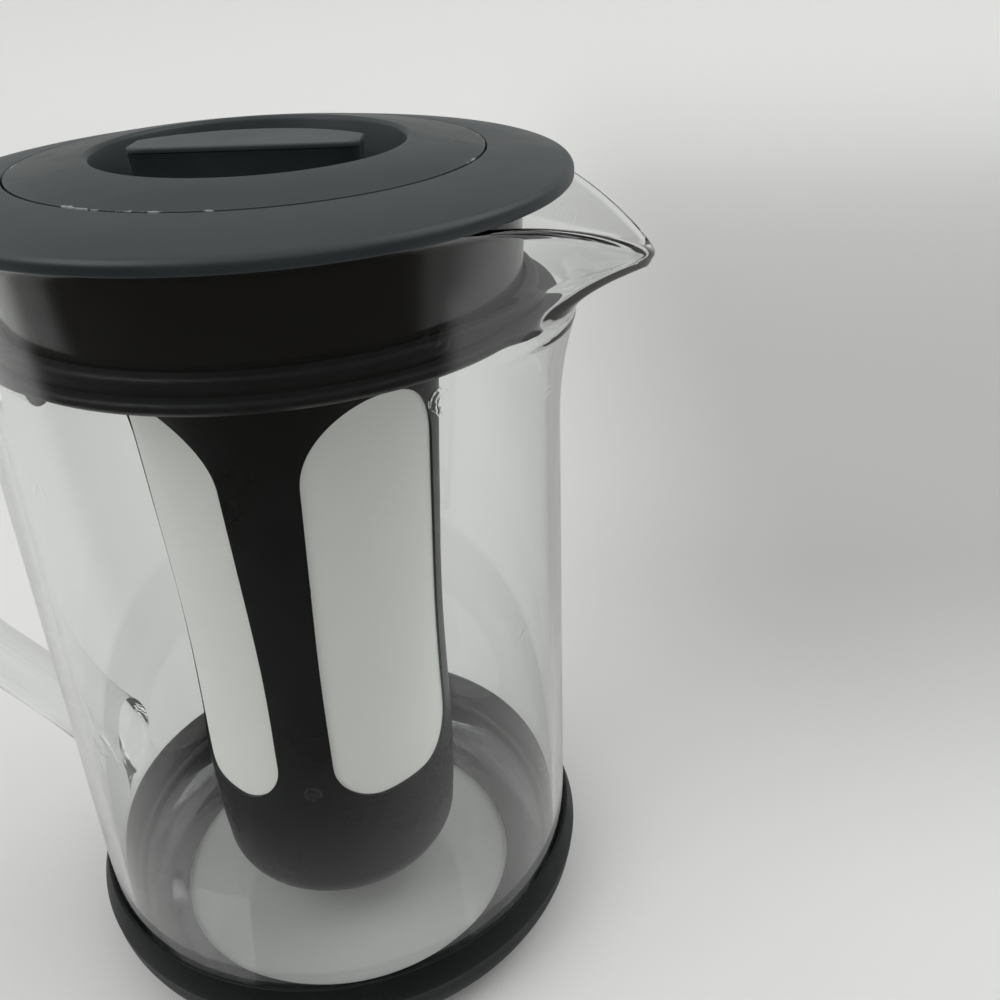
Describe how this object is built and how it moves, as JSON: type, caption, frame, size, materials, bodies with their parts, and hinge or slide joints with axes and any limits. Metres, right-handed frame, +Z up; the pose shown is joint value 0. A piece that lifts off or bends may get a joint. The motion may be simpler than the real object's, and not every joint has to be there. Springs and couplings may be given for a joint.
{
  "type": "cold brew coffee maker",
  "caption": "Glass carafe with spout and rod handle, silicone boot, sealed lid with recessed turning grip, and a hanging mesh brew core.",
  "frame": {"origin": "on the carafe's axis, at the table, where the open centre of the boot's floor starts", "axes": "+Z up along the carafe's axis, +X towards the spout, +Y across"},
  "size_m": [0.1802, 0.1196, 0.184],
  "materials": {
    "clear_glass": "clear, polished",
    "boot_silicone": "matte silicone",
    "seal_silicone": "satin silicone",
    "lid_plastic": "fine matte",
    "collar_plastic": "glossy",
    "core_plastic": "satin",
    "filter_mesh": "fine woven filter mesh"
  },
  "bodies": {
    "carafe": {"carafe_glass": "clear_glass", "carafe_spout": "clear_glass", "handle_rod": "clear_glass", "base_boot": "boot_silicone"},
    "lid": {"lid_ring": "lid_plastic", "lid_collar": "collar_plastic", "collar_seal": "seal_silicone"},
    "core": {"core_frame": "core_plastic", "mesh_panel_1": "filter_mesh", "mesh_panel_2": "filter_mesh", "mesh_panel_3": "filter_mesh", "mesh_panel_4": "filter_mesh"},
    "cap": {"cap_cover": "lid_plastic", "cap_plug": "collar_plastic", "cap_gasket": "seal_silicone", "grip_bar": "lid_plastic", "grip_cover": "lid_plastic"}
  },
  "joints": [
    {"name": "lid_lift", "type": "slide", "parent": "carafe", "child": "lid", "axis": [0, 0, 1], "range_m": [0, 0.175]},
    {"name": "core_lift", "type": "slide", "parent": "lid", "child": "core", "axis": [0, 0, 1], "range_m": [0, 0.185]},
    {"name": "cap_turn", "type": "hinge", "parent": "core", "child": "cap", "pos_m": [0, 0, 0.16], "axis": [0, 0, 1], "range_deg": [0, 45]}
  ]
}
